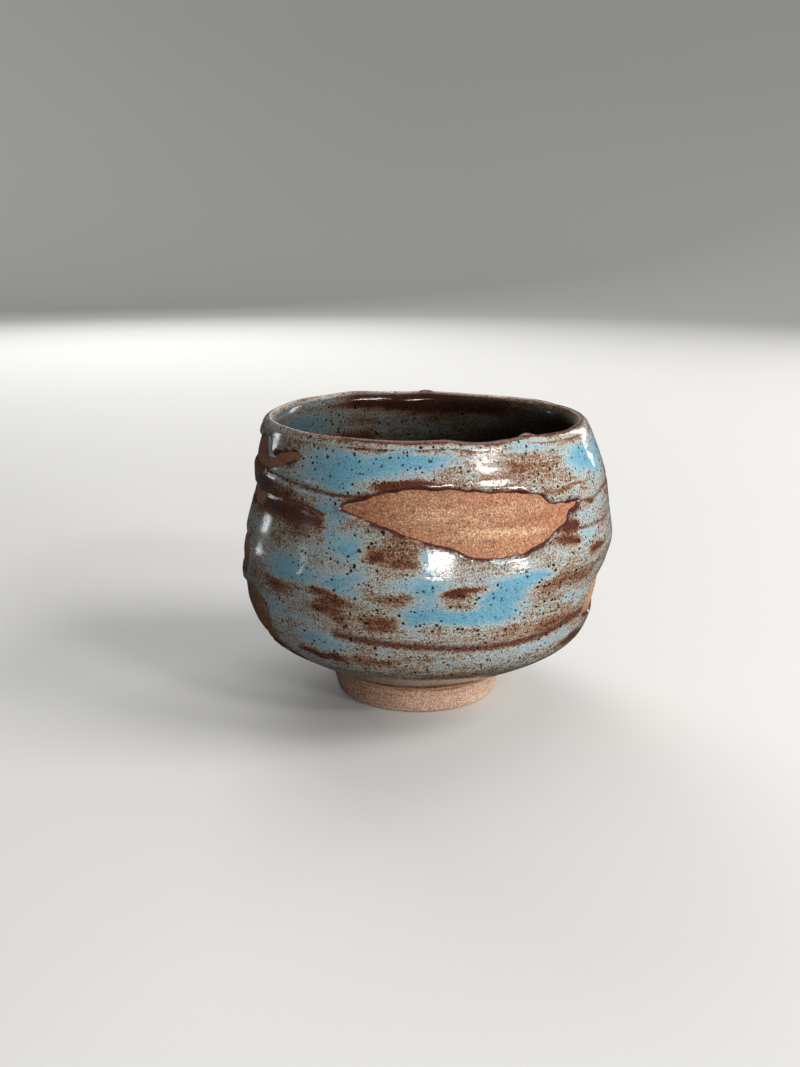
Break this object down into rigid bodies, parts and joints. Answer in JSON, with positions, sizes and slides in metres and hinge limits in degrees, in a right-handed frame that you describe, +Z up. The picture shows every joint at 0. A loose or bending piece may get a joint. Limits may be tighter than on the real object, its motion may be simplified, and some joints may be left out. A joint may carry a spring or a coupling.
{
  "type": "matcha bowl",
  "caption": "Wide tea bowl with a rounded belly, waisted shoulder, thin uneven lip and small bare foot ring; blue-grey glaze coat broken by bare clay patches.",
  "frame": {"origin": "centre of the foot ring's resting face, on the surface the bowl stands on", "axes": "+Z up along the bowl's axis, through the middle of the lip; -Y faces the front, with the long bare clay patch; +X to the right seen from the front"},
  "size_m": [0.1038, 0.104, 0.0809],
  "materials": {
    "bare_clay": "matt, sandy, wiped",
    "foot_clay": "matt, sandy",
    "blue_glaze": "gloss, broken blue-grey over rust brown, with iron specks",
    "inside_glaze": "gloss, dark blue-grey over brown",
    "lip_glaze": "gloss, thin and pale over rust brown",
    "glaze_roll": "gloss, thick and dark"
  },
  "bodies": {
    "root": {"clay_bowl": "bare_clay", "foot_ring": "foot_clay", "outside_glaze": "blue_glaze", "foot_line_roll": "glaze_roll", "glaze_run": "blue_glaze", "lip_glaze": "lip_glaze", "lip_beads": "lip_glaze", "inside_glaze": "inside_glaze"}
  },
  "joints": []
}
